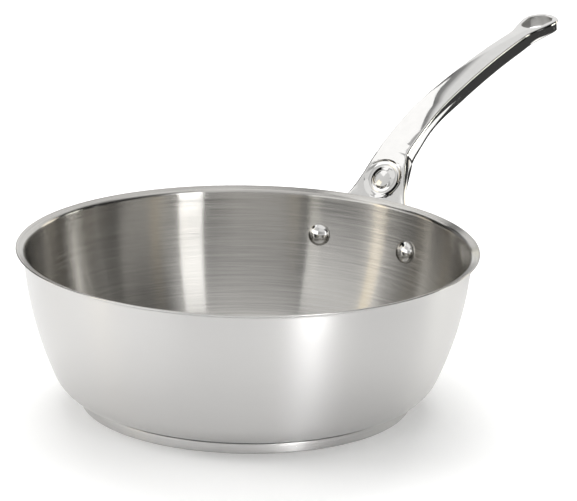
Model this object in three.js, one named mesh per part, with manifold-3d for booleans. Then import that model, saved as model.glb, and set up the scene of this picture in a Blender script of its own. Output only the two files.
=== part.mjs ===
import * as THREE from "three";
import { mergeVertices } from "three/addons/utils/BufferGeometryUtils.js";
import Module from "manifold-3d";

// Saute pan in drawn steel with a bonded base and a riveted cast handle.
// Origin at the centre of the underside, +Z up, handle along +X, millimetres.

// Bowl
const RIM_DIAMETER = 240; // over the flared lip
const PAN_HEIGHT = 83.2; // table to the top of the lip
const FLOOR_DIAMETER = 164; // flat part of the floor
const SHEET = 1; // drawn sheet
const CORNER_RADIUS = 20; // floor to wall, outside
const WALL_RADIUS = 185; // slow bulge of the wall in section
const LIP_RADIUS = 1.5; // bend into the pouring flare, outside
const LIP_FLAT = 2.8; // straight part of the flare
const LIP_ANGLE = 71; // flare, degrees off vertical

// Bonded base
const BASE_HEIGHT = 5.6; // table to the underside of the bowl
const CAP_OVERHANG = 4.3; // cap past the flat of the floor
const CAP_SHEET = 0.8;
const CAP_CORNER = 0.9;
const GROOVE = 0.75; // dark line between the cap and the bowl

// Fits
const SEAT_GAP = 0.3; // between pieces that are cut or turned to each other

// Rivets
const RIVET_DROP = 23.7; // below the top of the lip
const RIVET_SPACING = 56.6; // between the two centres
const RIVET_SHANK = 6;
const RIVET_HEAD = 12.2;
const RIVET_DOME = 3.4;
const RIVET_TAIL = 10;
const RIVET_TAIL_DOME = 1.5;

// Handle, lengths along its top line and turns in degrees
const FLANGE_MARGIN = 9.5; // metal round each rivet
const FLANGE_THICKNESS = 3.5;
const FLANGE_SEAT = 2.25; // seat carried on above the rivets
const LIP_CLEARANCE = 2.3; // handle face to the lip
const HANDLE_LENGTH = 202; // from the lip to the tip
const STEM_LENGTH = 17.7; // straight face that carries the button
const ELBOW_LENGTH = 19;
const ELBOW_TURN = 29;
const SHOULDER_LENGTH = 52.5;
const SHOULDER_TURN = 12.4;
const GRIP_TURN = 8.4;
const LOBE_ANGLE = 30; // where the flange leaves the round of the rivet
const BELL_FOOT = 11; // pull of the flange's edge at its foot
const BELL_NECK = 32.5; // and at its neck
const BELL_NECK_ANGLE = 13;
const BELL_OVERRUN = 9.4; // flange's edge carried on past the stem
const ROOT_THIN = 0.7; // plain flange above the lip
const WAIST_STATION = 18; // past the elbow
const NECK_THINNING = 8; // before the neck
const ELBOW_THICKNESS = 9.6;
const WAIST_THICKNESS = 7.5;
const GRIP_THICKNESS = 8.6;
const LOOP_THICKNESS = 6.6;
const GRIP_WIDTH = 18.7; // at the elbow
const NECK_WIDTH = 11.8; // before the loop
const LOOP_DIAMETER = 20.6;
const NECK_LENGTH = 26; // from the neck to the middle of the loop
const EYE_LENGTH = 21; // hanging hole
const EYE_WIDTH = 14; // at its tip end
const EYE_NARROW = 11.5; // at its grip end
const EYE_BACK = 1; // its wide round behind the middle of the loop
const EDGE_RADIUS = 0.8; // on the grip, less where the metal is thin
const GRIP_CROWN = 0.45;

// Domed button in a sunk ring, on the handle's face
const BUTTON_STATION = 10.9; // centre, from the lip
const BUTTON_DIAMETER = 9;
const BUTTON_DOME = 0.5;
const RING_DIAMETER = 22.8;
const RING_DEPTH = 1.3;

// Facets
const ROUND = 72;
const SMALL_ROUND = 24;

const wasm = await Module();
wasm.setup();

const { degToRad, smoothstep, lerp } = THREE.MathUtils;
const QUARTER = Math.PI / 2;

// Points on a circle in section, from one angle to another
function arc(centre, radius, from, to, steps) {
  return Array.from({ length: steps + 1 }, (_, i) => {
    const a = lerp(from, to, i / steps);
    return new THREE.Vector2(centre.x + radius * Math.cos(a), centre.y + radius * Math.sin(a));
  });
}

// Direction of the way from a to b, between half a turn back and half a turn on
function bearing(a, b) {
  return Math.atan2(b.y - a.y, b.x - a.x);
}

// The point at distance ra from a and rb from b, to the left of the way from a to b
function meet(a, ra, b, rb) {
  const way = b.clone().sub(a);
  const d = way.length();
  const along = (ra * ra - rb * rb + d * d) / (2 * d);
  const aside = Math.sqrt(ra * ra - along * along);
  way.divideScalar(d);
  return new THREE.Vector2(
    a.x + way.x * along - way.y * aside,
    a.y + way.y * along + way.x * aside,
  );
}

// A turned piece from its section (radius, height)
function turned(section, segments) {
  return new THREE.LatheGeometry(section, segments).rotateX(QUARTER);
}

function solidOf(geometry) {
  const bare = geometry.clone();
  bare.deleteAttribute("normal");
  bare.deleteAttribute("uv");
  const merged = mergeVertices(bare, 1e-4);
  const index = merged.index.array;
  const triangles = [];
  for (let i = 0; i < index.length; i += 3) {
    const [a, b, c] = [index[i], index[i + 1], index[i + 2]];
    if (a !== b && b !== c && c !== a) triangles.push(a, b, c);
  }
  return new wasm.Manifold(new wasm.Mesh({
    numProp: 3,
    vertProperties: new Float32Array(merged.attributes.position.array),
    triVerts: new Uint32Array(triangles),
  }));
}

function geometryOf(solid) {
  const mesh = solid.getMesh();
  const geometry = new THREE.BufferGeometry();
  geometry.setAttribute("position", new THREE.BufferAttribute(mesh.vertProperties, 3));
  geometry.setIndex(new THREE.BufferAttribute(mesh.triVerts, 1));
  geometry.computeVertexNormals();
  return geometry;
}

function piece(name, geometry, colour, roughness) {
  const material = new THREE.MeshStandardMaterial({ color: colour, metalness: 1, roughness });
  const mesh = new THREE.Mesh(geometry, material);
  mesh.name = name;
  return mesh;
}

// Bowl section: corner, wall and bend are three arcs that run into each other, and the flare is straight
const rimRadius = RIM_DIAMETER / 2;
const floorRadius = FLOOR_DIAMETER / 2;
const lipTilt = degToRad(LIP_ANGLE);
const lipEdge = new THREE.Vector2(rimRadius - SHEET / 2, PAN_HEIGHT - SHEET / 2);
const corner = new THREE.Vector2(floorRadius, BASE_HEIGHT + CORNER_RADIUS);
const lipUnder = new THREE.Vector2(Math.cos(lipTilt), -Math.sin(lipTilt));
const lipAlong = new THREE.Vector2(Math.sin(lipTilt), Math.cos(lipTilt));
const lip = lipEdge.clone()
  .addScaledVector(lipAlong, -LIP_FLAT)
  .addScaledVector(lipUnder, LIP_RADIUS + SHEET / 2);
const wall = meet(corner, WALL_RADIUS - CORNER_RADIUS, lip, WALL_RADIUS + LIP_RADIUS);
const wallStart = bearing(wall, corner);
const wallEnd = bearing(wall, lip);

function sheetSide(inset) {
  return [
    new THREE.Vector2(0, BASE_HEIGHT + inset),
    ...arc(corner, CORNER_RADIUS - inset, -QUARTER, wallStart, 5),
    ...arc(wall, WALL_RADIUS - inset, wallStart, wallEnd, 5).slice(1),
    ...arc(lip, LIP_RADIUS + inset, wallEnd + Math.PI, Math.PI - lipTilt, 4).slice(1),
    lipEdge.clone().addScaledVector(lipUnder, SHEET / 2 - inset),
  ];
}

const lipRound = arc(lipEdge, SHEET / 2, -lipTilt, Math.PI - lipTilt, 3).slice(1, -1);
const bowlSection = [...sheetSide(0), ...lipRound, ...sheetSide(SHEET).reverse()];

// Base: a cap pressed round an aluminium disc
const capRadius = floorRadius + CAP_OVERHANG;
const bowlOverCap = BASE_HEIGHT + CORNER_RADIUS - Math.sqrt(CORNER_RADIUS ** 2 - CAP_OVERHANG ** 2);
const capTop = bowlOverCap - GROOVE;
const capSection = [
  new THREE.Vector2(0, 0),
  ...arc(new THREE.Vector2(capRadius - CAP_CORNER, CAP_CORNER), CAP_CORNER, -QUARTER, 0, 4),
  new THREE.Vector2(capRadius, capTop),
  new THREE.Vector2(capRadius - CAP_SHEET, capTop),
  new THREE.Vector2(capRadius - CAP_SHEET, CAP_SHEET),
  new THREE.Vector2(0, CAP_SHEET),
];
const discRadius = capRadius - CAP_SHEET - SEAT_GAP;
const discSection = [
  new THREE.Vector2(0, CAP_SHEET),
  new THREE.Vector2(discRadius, CAP_SHEET),
  new THREE.Vector2(discRadius, BASE_HEIGHT),
  new THREE.Vector2(0, BASE_HEIGHT),
];

// Handle top line: up the wall, away from the lip, over the elbow and along the grip.
// Slopes are from horizontal, lengths from the foot of the flange.
const seatRadius = WALL_RADIUS + SEAT_GAP;
const rivetAngle = Math.asin((PAN_HEIGHT - RIVET_DROP - wall.y) / seatRadius);
const footAngle = rivetAngle - FLANGE_MARGIN / seatRadius;
const leaveStation = FLANGE_MARGIN + FLANGE_SEAT;
const leaveAngle = footAngle + leaveStation / seatRadius;
const [foot] = arc(wall, seatRadius, footAngle, footAngle, 1);
const [leave] = arc(wall, seatRadius, leaveAngle, leaveAngle, 1);
const overLip = new THREE.Vector2(rimRadius + LIP_CLEARANCE, PAN_HEIGHT);
const leaveSlope = leaveAngle + QUARTER;
const rootTurn = 2 * (leaveSlope - bearing(leave, overLip));
const lipStation = leaveStation + overLip.distanceTo(leave);
const stemEnd = lipStation + STEM_LENGTH;
const elbowEnd = stemEnd + ELBOW_LENGTH;
const shoulderEnd = elbowEnd + SHOULDER_LENGTH;
const tip = lipStation + HANDLE_LENGTH;
const loopStation = tip - LOOP_DIAMETER / 2;
const neckStation = loopStation - NECK_LENGTH;

function slopeAt(s) {
  if (s < leaveStation) return footAngle + QUARTER + s / seatRadius;
  const root = rootTurn * smoothstep(s, leaveStation, lipStation);
  const elbow = degToRad(ELBOW_TURN) * smoothstep(s, stemEnd, elbowEnd);
  const shoulder = degToRad(SHOULDER_TURN) * smoothstep(s, elbowEnd, shoulderEnd);
  const grip = degToRad(GRIP_TURN) * smoothstep(s, shoulderEnd - ELBOW_LENGTH, tip);
  return leaveSlope - root - elbow - shoulder - grip;
}

const STEP = 0.25;
const topLine = [foot];
for (let s = 0; s < tip + STEP; s += STEP) {
  const slope = slopeAt(s + STEP / 2);
  const last = topLine[topLine.length - 1];
  topLine.push(new THREE.Vector2(last.x + STEP * Math.cos(slope), last.y + STEP * Math.sin(slope)));
}

function topPoint(s) {
  const i = Math.min(Math.floor(s / STEP), topLine.length - 2);
  return topLine[i].clone().lerp(topLine[i + 1], s / STEP - i);
}

// A place on the handle: s along the top line, y across it, depth behind its face.
// The flange wraps round the bowl and flattens on the way up to the button.
const buttonStation = lipStation + BUTTON_STATION;

function place(s, y, depth) {
  const { x, y: z } = topPoint(s);
  const slope = slopeAt(s);
  const wrap = 1 - smoothstep(s, leaveStation, buttonStation);
  const turn = (wrap * y) / x;
  const side = wrap > 1e-6 ? (x / wrap) * Math.sin(turn) : y;
  const back = wrap > 1e-6 ? (x / wrap) * (1 - Math.cos(turn)) : 0;
  const outward = depth * Math.sin(slope);
  return new THREE.Vector3(
    x - back + outward * Math.cos(turn),
    side + outward * Math.sin(turn),
    z - depth * Math.cos(slope),
  );
}

// Axes at a place: along the handle, across it, and out of its face
function placing(s, y, depth) {
  const turn = ((1 - smoothstep(s, leaveStation, buttonStation)) * y) / topPoint(s).x;
  const slope = slopeAt(s);
  const across = new THREE.Vector3(-Math.sin(turn), Math.cos(turn), 0);
  const face = new THREE.Vector3(
    -Math.sin(slope) * Math.cos(turn),
    -Math.sin(slope) * Math.sin(turn),
    Math.cos(slope),
  );
  const along = across.clone().cross(face);
  return new THREE.Matrix4().makeBasis(along, across, face).setPosition(place(s, y, depth));
}

// Half of the handle's outline: foot round the rivet, bell, grip, loop
const rivetRadius = foot.x + FLANGE_MARGIN * Math.cos(footAngle + QUARTER);
const rivetSide = rivetRadius * Math.asin(RIVET_SPACING / 2 / rivetRadius);
const rivetPlace = new THREE.Vector2(FLANGE_MARGIN, rivetSide);
const lobeEnd = degToRad(LOBE_ANGLE);
const neckPull = degToRad(BELL_NECK_ANGLE);
const lobe = arc(rivetPlace, FLANGE_MARGIN, Math.PI, lobeEnd, 9);
const bellStart = lobe[lobe.length - 1];
const bellEnd = new THREE.Vector2(stemEnd + BELL_OVERRUN, GRIP_WIDTH / 2);
const bell = new THREE.CubicBezierCurve(
  bellStart,
  new THREE.Vector2(Math.sin(lobeEnd), -Math.cos(lobeEnd)).multiplyScalar(BELL_FOOT).add(bellStart),
  new THREE.Vector2(-Math.cos(neckPull), Math.sin(neckPull)).multiplyScalar(BELL_NECK).add(bellEnd),
  bellEnd,
).getPoints(9);

function gripHalf(s) {
  const taper = (s - bellEnd.x) / (neckStation - bellEnd.x);
  const grip = lerp(GRIP_WIDTH, NECK_WIDTH, Math.min(taper, 1)) / 2;
  return lerp(grip, LOOP_DIAMETER / 2, smoothstep(s, neckStation, loopStation));
}

const grip = Array.from({ length: 20 }, (_, i) => {
  const s = lerp(bellEnd.x, loopStation, (i + 1) / 20);
  return new THREE.Vector2(s, gripHalf(s));
});
const loopPlace = new THREE.Vector2(loopStation, 0);
const loopEnd = arc(loopPlace, LOOP_DIAMETER / 2, QUARTER, 0, 8);
const outline = [...lobe, ...bell.slice(1), ...grip, ...loopEnd.slice(1)];

function thicknessAt(s) {
  const waistStation = elbowEnd + WAIST_STATION;
  const elbow = smoothstep(s, lipStation + ROOT_THIN, bellEnd.x);
  const waist = smoothstep(s, bellEnd.x, waistStation);
  const grip = smoothstep(s, waistStation, shoulderEnd);
  const loop = smoothstep(s, neckStation - NECK_THINNING, loopStation);
  let t = lerp(FLANGE_THICKNESS, ELBOW_THICKNESS, elbow);
  t = lerp(t, WAIST_THICKNESS, waist);
  t = lerp(t, GRIP_THICKNESS, grip);
  return lerp(t, LOOP_THICKNESS, loop);
}

// Distance in from the outline, for rounding the edges over
function insetAt(s, y, half) {
  const side = Math.abs(y);
  if (s < FLANGE_MARGIN) {
    return FLANGE_MARGIN - Math.hypot(FLANGE_MARGIN - s, Math.max(0, side - rivetSide));
  }
  if (s > loopStation) return LOOP_DIAMETER / 2 - Math.hypot(s - loopStation, side);
  return half - side;
}

function roundOver(inset, radius) {
  const short = Math.min(Math.max(radius - inset, 0), radius);
  return radius - Math.sqrt(radius ** 2 - short ** 2);
}

function acrossAt(half, radius) {
  const flat = Math.max(half - radius, 0);
  const near = Math.max(half - 0.3 * radius, 0);
  const inner = Array.from({ length: 11 }, (_, i) => lerp(-flat, flat, i / 10));
  return [-half, -near, ...inner, near, half];
}

// One ring of points round the handle at each place of the outline
function handleLoft() {
  const rings = outline.map(({ x: s, y: half }) => {
    const crowned = smoothstep(s, stemEnd, elbowEnd) * (1 - smoothstep(s, neckStation, loopStation));
    const thickness = thicknessAt(s);
    const radius = Math.min(EDGE_RADIUS, 0.37 * thickness);
    const across = acrossAt(Math.max(half, 0), radius);
    const rounded = across.map((y) => roundOver(insetAt(s, y, half), radius));
    const top = across.map((y, i) => {
      const crown = half > 0.01 ? GRIP_CROWN * crowned * (y / half) ** 2 : 0;
      return place(s, y, crown + rounded[i]);
    });
    const under = across.map((y, i) => place(s, y, thickness - rounded[i]));
    return [...top, ...under.reverse()];
  });
  const count = rings[0].length;
  const indices = [];
  for (let i = 0; i + 1 < rings.length; i += 1) {
    for (let k = 0; k < count; k += 1) {
      const a = i * count + k;
      const d = i * count + ((k + 1) % count);
      indices.push(a, a + count, d + count, a, d + count, d);
    }
  }
  for (let k = 0; k + 1 < count / 2; k += 1) {
    indices.push(k, k + 1, count - 2 - k, k, count - 2 - k, count - 1 - k);
  }
  const geometry = new THREE.BufferGeometry();
  geometry.setFromPoints(rings.flat());
  geometry.setIndex(indices);
  return geometry;
}

// The button is a low dome and the ring round it is cut to an arc, both seated on the face
const buttonRadius = BUTTON_DIAMETER / 2;
const buttonSection = [
  new THREE.Vector2(0, -FLANGE_THICKNESS / 2),
  new THREE.Vector2(buttonRadius, -FLANGE_THICKNESS / 2),
  new THREE.Vector2(buttonRadius, 0),
  new THREE.Vector2(buttonRadius * 0.75, BUTTON_DOME * 0.45),
  new THREE.Vector2(buttonRadius * 0.4, BUTTON_DOME * 0.85),
  new THREE.Vector2(0, BUTTON_DOME),
];
const ringRadius = RING_DIAMETER / 2;
const ringHalf = (ringRadius - buttonRadius) / 2;
const ringRound = (ringHalf ** 2 + RING_DEPTH ** 2) / (2 * RING_DEPTH);
const ringOpening = Math.asin(ringHalf / ringRound);
const ringCentre = new THREE.Vector2(ringRadius - ringHalf, ringRound - RING_DEPTH);
const ringSection = [
  ...arc(ringCentre, ringRound, -QUARTER - ringOpening, -QUARTER + ringOpening, 6),
  new THREE.Vector2(ringRadius, RING_DEPTH),
  new THREE.Vector2(buttonRadius, RING_DEPTH),
];
ringSection.push(ringSection[0]);

// Hanging hole: two rounds of different size and their tangents
function eyeGeometry() {
  const wide = EYE_WIDTH / 2;
  const narrow = EYE_NARROW / 2;
  const apart = EYE_LENGTH - wide - narrow;
  const tangent = Math.acos((wide - narrow) / apart);
  const shape = new THREE.Shape();
  shape.absarc(0, 0, wide, -tangent, tangent, false);
  shape.absarc(-apart, 0, narrow, tangent, 2 * Math.PI - tangent, false);
  const depth = 4 * LOOP_THICKNESS;
  const geometry = new THREE.ExtrudeGeometry(shape, { depth, bevelEnabled: false, curveSegments: 12 });
  return geometry.translate(-EYE_BACK, 0, -depth / 2);
}

const rivetPlacings = [rivetSide, -rivetSide].map((y) => placing(FLANGE_MARGIN, y, 0));
const holeRadius = RIVET_SHANK / 2 + SEAT_GAP;
const drillLength = 4 * RIVET_HEAD;

function rivetHole(matrix) {
  const drill = new THREE.CylinderGeometry(holeRadius, holeRadius, drillLength, SMALL_ROUND);
  return solidOf(drill.rotateX(QUARTER).applyMatrix4(matrix));
}

function bowlGeometry() {
  let solid = solidOf(turned(bowlSection, ROUND));
  for (const matrix of rivetPlacings) solid = solid.subtract(rivetHole(matrix));
  return geometryOf(solid);
}

function handleGeometry() {
  const onFace = placing(buttonStation, 0, 0);
  const onLoop = placing(loopStation, 0, LOOP_THICKNESS / 2);
  let solid = solidOf(handleLoft());
  solid = solid.subtract(solidOf(turned(ringSection, 2 * SMALL_ROUND).applyMatrix4(onFace)));
  solid = solid.add(solidOf(turned(buttonSection, 2 * SMALL_ROUND).applyMatrix4(onFace)));
  solid = solid.subtract(solidOf(eyeGeometry().applyMatrix4(onLoop)));
  for (const matrix of rivetPlacings) solid = solid.subtract(rivetHole(matrix));
  return geometryOf(solid);
}

// Rivet along its own axis: domed head in the bowl, low tail on the flange
function rivetGeometry() {
  const head = RIVET_HEAD / 2;
  const tail = RIVET_TAIL / 2;
  const sag = (head * head) / (2 * rivetRadius);
  const headSeat = 2 * SEAT_GAP + SHEET + sag;
  const tailSeat = -FLANGE_THICKNESS - SEAT_GAP;
  const dome = (radius, rise, seat, from, to) => arc(new THREE.Vector2(), 1, from, to, 6)
    .map((p) => new THREE.Vector2(Math.max(p.x, 0) * radius, seat + p.y * rise));
  const section = [
    ...dome(tail, RIVET_TAIL_DOME, tailSeat, -QUARTER, 0),
    new THREE.Vector2(RIVET_SHANK / 2, tailSeat),
    new THREE.Vector2(RIVET_SHANK / 2, headSeat),
    ...dome(head, RIVET_DOME, headSeat, 0, QUARTER),
  ];
  return turned(section, SMALL_ROUND);
}

function rivet(name, matrix) {
  const mesh = piece(name, geometryOf(solidOf(rivetGeometry())), 0xdcdcda, 0.12);
  mesh.applyMatrix4(matrix);
  return mesh;
}

const pan = new THREE.Group();
pan.name = "saute_pan";
pan.add(
  piece("pan_body", bowlGeometry(), 0xcfd0d0, 0.28),
  piece("base_cap", geometryOf(solidOf(turned(capSection, ROUND))), 0xc4c5c5, 0.32),
  piece("heat_spreader", geometryOf(solidOf(turned(discSection, ROUND))), 0xaeb0b2, 0.5),
  piece("handle", handleGeometry(), 0xd6d6d5, 0.1),
  rivet("rivet_left", rivetPlacings[0]),
  rivet("rivet_right", rivetPlacings[1]),
);

export default pan;
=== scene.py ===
import math

import bmesh
import bpy
import numpy as np
from mathutils import Matrix, Vector


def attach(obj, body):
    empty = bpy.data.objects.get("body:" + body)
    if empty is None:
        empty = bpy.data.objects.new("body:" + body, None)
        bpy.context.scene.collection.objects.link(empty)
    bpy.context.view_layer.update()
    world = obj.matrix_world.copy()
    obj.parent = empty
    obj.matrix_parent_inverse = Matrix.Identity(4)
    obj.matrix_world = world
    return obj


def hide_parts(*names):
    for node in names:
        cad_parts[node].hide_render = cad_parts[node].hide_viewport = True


bl_info = {
    "name": "Saute Pan",
    "version": (1, 0, 0),
    "blender": (4, 5, 0),
    "location": "View3D > Sidebar > Pan",
    "description": "Builds a steel saute pan with a riveted handle, and the studio it stands in",
    "category": "Object",
}

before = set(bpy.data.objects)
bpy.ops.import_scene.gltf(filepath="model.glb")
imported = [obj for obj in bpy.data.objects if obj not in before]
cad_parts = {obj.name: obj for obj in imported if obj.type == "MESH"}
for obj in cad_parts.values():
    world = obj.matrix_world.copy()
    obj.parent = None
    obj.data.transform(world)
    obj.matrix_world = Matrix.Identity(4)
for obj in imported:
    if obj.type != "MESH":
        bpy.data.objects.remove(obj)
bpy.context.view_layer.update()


def linear(hex_colour):
    """An sRGB hex value as linear red, green and blue."""
    parts = [int(hex_colour[i:i + 2], 16) / 255 for i in (1, 3, 5)]
    return tuple(c / 12.92 if c <= 0.04045 else ((c + 0.055) / 1.055) ** 2.4 for c in parts)


# Properties


def length(name, millimetres, description):
    return bpy.props.FloatProperty(
        name=name, description=description, default=millimetres / 1000, min=0, unit="LENGTH", precision=4
    )


def angle(name, degrees, description):
    return bpy.props.FloatProperty(
        name=name, description=description, default=math.radians(degrees), subtype="ANGLE"
    )


def factor(name, value, description):
    return bpy.props.FloatProperty(
        name=name, description=description, default=value, min=0, max=1, subtype="FACTOR"
    )


def level(name, value, description):
    return bpy.props.FloatProperty(name=name, description=description, default=value, min=0)


def colour(name, hex_colour, description):
    return bpy.props.FloatVectorProperty(
        name=name, description=description, default=linear(hex_colour), subtype="COLOR", min=0, max=1
    )


class PanBowlSizes(bpy.types.PropertyGroup):
    """The drawn bowl."""

    rim: length("Rim", 240, "Diameter over the flared lip")
    height: length("Height", 83.2, "Table to the top of the lip")
    floor: length("Floor", 164, "Diameter of the flat part of the floor")
    sheet: length("Sheet", 1, "Thickness of the drawn sheet")
    corner: length("Corner", 20, "Radius from floor to wall, outside")
    wall: length("Wall bulge", 185, "Radius of the wall in section")
    lip: length("Lip bend", 1.5, "Radius of the bend into the pouring flare, outside")
    lip_flat: length("Lip flat", 2.8, "Straight part of the flare")
    lip_angle: angle("Lip angle", 71, "Flare off vertical")


class PanBaseSizes(bpy.types.PropertyGroup):
    """The bonded base."""

    height: length("Height", 5.6, "Table to the underside of the bowl")
    overhang: length("Overhang", 4.3, "Cap past the flat of the floor")
    sheet: length("Sheet", 0.8, "Thickness of the cap")
    corner: length("Corner", 0.9, "Radius of the cap's lower edge")
    groove: length("Groove", 0.75, "Open line between the cap and the bowl")
    gap: length("Fit", 0.3, "Gap between pieces that are cut or turned to each other")


class PanRivetSizes(bpy.types.PropertyGroup):
    """The two rivets."""

    drop: length("Drop", 23.7, "Below the top of the lip")
    spacing: length("Spacing", 56.6, "Between the two centres")
    shank: length("Shank", 6, "Diameter of the shank")
    head: length("Head", 12.2, "Diameter of the head in the bowl")
    dome: length("Dome", 3.4, "Height of the head in the bowl")
    tail: length("Tail", 10, "Diameter of the tail on the flange")
    tail_dome: length("Tail dome", 1.5, "Height of the tail on the flange")


class PanHandleSizes(bpy.types.PropertyGroup):
    """The cast handle. Lengths run along its top line, from the lip."""

    margin: length("Margin", 9.5, "Metal round each rivet")
    flange: length("Flange", 3.5, "Thickness of the flange")
    seat: length("Seat", 2.25, "Seat on the wall above the rivets")
    clearance: length("Clearance", 2.3, "Handle face to the lip")
    reach: length("Length", 202, "From the lip to the tip")
    stem: length("Stem", 17.7, "Straight face that carries the button")
    elbow: length("Elbow", 19, "Length of the elbow")
    elbow_turn: angle("Elbow turn", 29, "Turn over the elbow")
    shoulder: length("Shoulder", 52.5, "Length of the shoulder")
    shoulder_turn: angle("Shoulder turn", 12.4, "Turn over the shoulder")
    grip_turn: angle("Grip turn", 8.4, "Turn along the grip")
    lobe_angle: angle("Lobe angle", 30, "Where the flange leaves the round of the rivet")
    bell_foot: length("Bell foot", 11, "Pull of the flange's edge at its foot")
    bell_neck: length("Bell neck", 32.5, "Pull of the flange's edge at its neck")
    bell_angle: angle("Bell angle", 13, "Direction of the flange's edge at its neck")
    overrun: length("Overrun", 9.4, "Flange's edge carried on past the stem")
    root: length("Root", 0.7, "Plain flange above the lip")
    elbow_thickness: length("Elbow thickness", 9.6, "Thickest part")
    waist: length("Waist", 18, "Place of the waist past the elbow")
    waist_thickness: length("Waist thickness", 7.5, "Thinnest part of the grip")
    grip_thickness: length("Grip thickness", 8.6, "Along the grip")
    loop_thickness: length("Loop thickness", 6.6, "At the loop")
    thinning: length("Thinning", 8, "Where the grip starts to thin before the neck")
    grip_width: length("Grip width", 18.7, "At the elbow")
    neck_width: length("Neck width", 11.8, "Before the loop")
    neck: length("Neck", 26, "From the neck to the middle of the loop")
    loop: length("Loop", 20.6, "Diameter of the loop")
    eye: length("Eye", 21, "Length of the hanging hole")
    eye_wide: length("Eye width", 14, "Hanging hole at its tip end")
    eye_narrow: length("Eye narrow", 11.5, "Hanging hole at its grip end")
    eye_back: length("Eye back", 1, "Its wide round behind the middle of the loop")
    eye_edge: length("Eye edge", 1.1, "Rounding of the hanging hole")
    edge: length("Edge", 0.8, "Rounding of the edges on the grip")
    loop_edge: length("Loop edge", 1.6, "Rounding of the edges round the loop")
    side_lean: angle("Side lean", 10, "Turn of the slightly rounded sides at their edges")
    crown: length("Crown", 0.45, "Crown of the top face")
    button_place: length("Button place", 10.9, "Centre of the button from the lip")
    button: length("Button", 9, "Diameter of the domed button")
    button_dome: length("Button dome", 0.12, "Height of the button's dome")
    ring: length("Ring", 22.8, "Diameter of the sunk ring round the button")
    ring_depth: length("Ring depth", 1.3, "Depth of the ring")
    ring_edge: length("Ring edge", 0.5, "Rounding of the ring's edges")


class PanFinishes(bpy.types.PropertyGroup):
    """Colours and polish of the metals."""

    brushed: colour("Brushed steel", "#C2C0BC", "Inside of the bowl")
    brushed_roughness: factor("Brushed roughness", 0.2, "Inside of the bowl")
    satin: colour("Satin steel", "#C9C8C7", "Outside of the bowl")
    satin_roughness: factor("Satin roughness", 0.38, "Outside of the bowl")
    polished: colour("Polished steel", "#DEDDDB", "Handle and rivets")
    polished_roughness: factor("Polished roughness", 0.045, "Handle and rivets")
    # Darker than the polished steel as painted shade inside the hanging hole; the dull finish itself is in
    # its roughness.
    cast: colour("Cast steel", "#ADACAA", "Wall of the hanging hole")
    turned: colour("Turned steel", "#CDCCCB", "Cap of the base")
    core: colour("Aluminium core", "#8F9092", "Edge of the disc in the base")


class PanStudio(bpy.types.PropertyGroup):
    """Camera, floor and light."""

    heading: angle("Heading", 34.66, "Handle off the line of sight")
    distance: length("Distance", 1800, "Camera to the middle of the pan")
    middle: length("Middle", 40, "Height of the middle of the pan")
    elevation: angle("Elevation", 17.62, "Camera above the floor")
    yaw: angle("Yaw", 0.70, "Camera turned to the right")
    pitch: angle("Pitch", 16.36, "Camera turned down")
    roll: angle("Roll", 1.11, "Camera rolled")
    focal: bpy.props.FloatProperty(
        name="Focal length", description="On a sensor 36 mm wide", default=215.62, unit="CAMERA"
    )
    floor: colour("Floor", "#F6F6F5", "Painted floor")
    floor_reach: length("Floor reach", 3000, "Middle of the floor to its edges")
    surround: level("Surround", 0.40, "Light on the floor from all round")
    floor_lift: level("Floor lift", 0.14, "White added to the floor that the camera and the metal see")
    panel_distance: length("Panel distance", 1800, "Middle of the pan to the panels round it")


# Shapes


def ease(s, start, end):
    u = np.clip((s - start) / (end - start), 0, 1)
    return u * u * (3 - 2 * u)


def mix(a, b, t):
    return a + (b - a) * t


def arc(centre, radius, start, end, steps):
    a = np.linspace(start, end, steps + 1)
    return np.column_stack((centre[0] + radius * np.cos(a), centre[1] + radius * np.sin(a)))


def meet(a, ra, b, rb):
    """The point at distance ra from a and rb from b, to the left of the way from a to b."""
    way = b - a
    d = np.hypot(*way)
    along = (ra * ra - rb * rb + d * d) / (2 * d)
    aside = math.sqrt(ra * ra - along * along)
    way = way / d
    return a + way * along + np.array((-way[1], way[0])) * aside


class BowlShape:
    """Section of the bowl: arcs that run into each other for corner, wall and bend, then a straight flare."""

    # Steps along each part of the section.
    FLOOR, CORNER, WALL, BEND, FLARE, ROUND = 8, 20, 24, 14, 6, 8

    def __init__(self, bowl, base):
        tilt = bowl.lip_angle
        self.bowl = bowl
        self.base = base
        self.edge = np.array((bowl.rim / 2 - bowl.sheet / 2, bowl.height - bowl.sheet / 2))
        self.corner = np.array((bowl.floor / 2, base.height + bowl.corner))
        self.under = np.array((math.cos(tilt), -math.sin(tilt)))
        self.along = np.array((math.sin(tilt), math.cos(tilt)))
        self.lip = self.edge - bowl.lip_flat * self.along + (bowl.lip + bowl.sheet / 2) * self.under
        self.wall = meet(self.corner, bowl.wall - bowl.corner, self.lip, bowl.wall + bowl.lip)
        self.wall_start = math.atan2(*(self.corner - self.wall)[::-1])
        self.wall_end = math.atan2(*(self.lip - self.wall)[::-1])

    def side(self, inset):
        bowl = self.bowl
        floor = np.linspace(0, bowl.floor / 2, self.FLOOR + 1)[:-1]
        back = np.linspace(bowl.lip_flat, 0, self.FLARE + 1)[1:, None]
        bend_start, bend_end = self.wall_end + math.pi, math.pi - bowl.lip_angle
        return np.vstack((
            np.column_stack((floor, np.full(self.FLOOR, self.base.height + inset))),
            arc(self.corner, bowl.corner - inset, -math.pi / 2, self.wall_start, self.CORNER),
            arc(self.wall, bowl.wall - inset, self.wall_start, self.wall_end, self.WALL)[1:],
            arc(self.lip, bowl.lip + inset, bend_start, bend_end, self.BEND)[1:],
            self.edge + (bowl.sheet / 2 - inset) * self.under - back * self.along,
        ))

    def lip_round(self):
        tilt = self.bowl.lip_angle
        return arc(self.edge, self.bowl.sheet / 2, -tilt, math.pi - tilt, self.ROUND)[1:-1]


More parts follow.
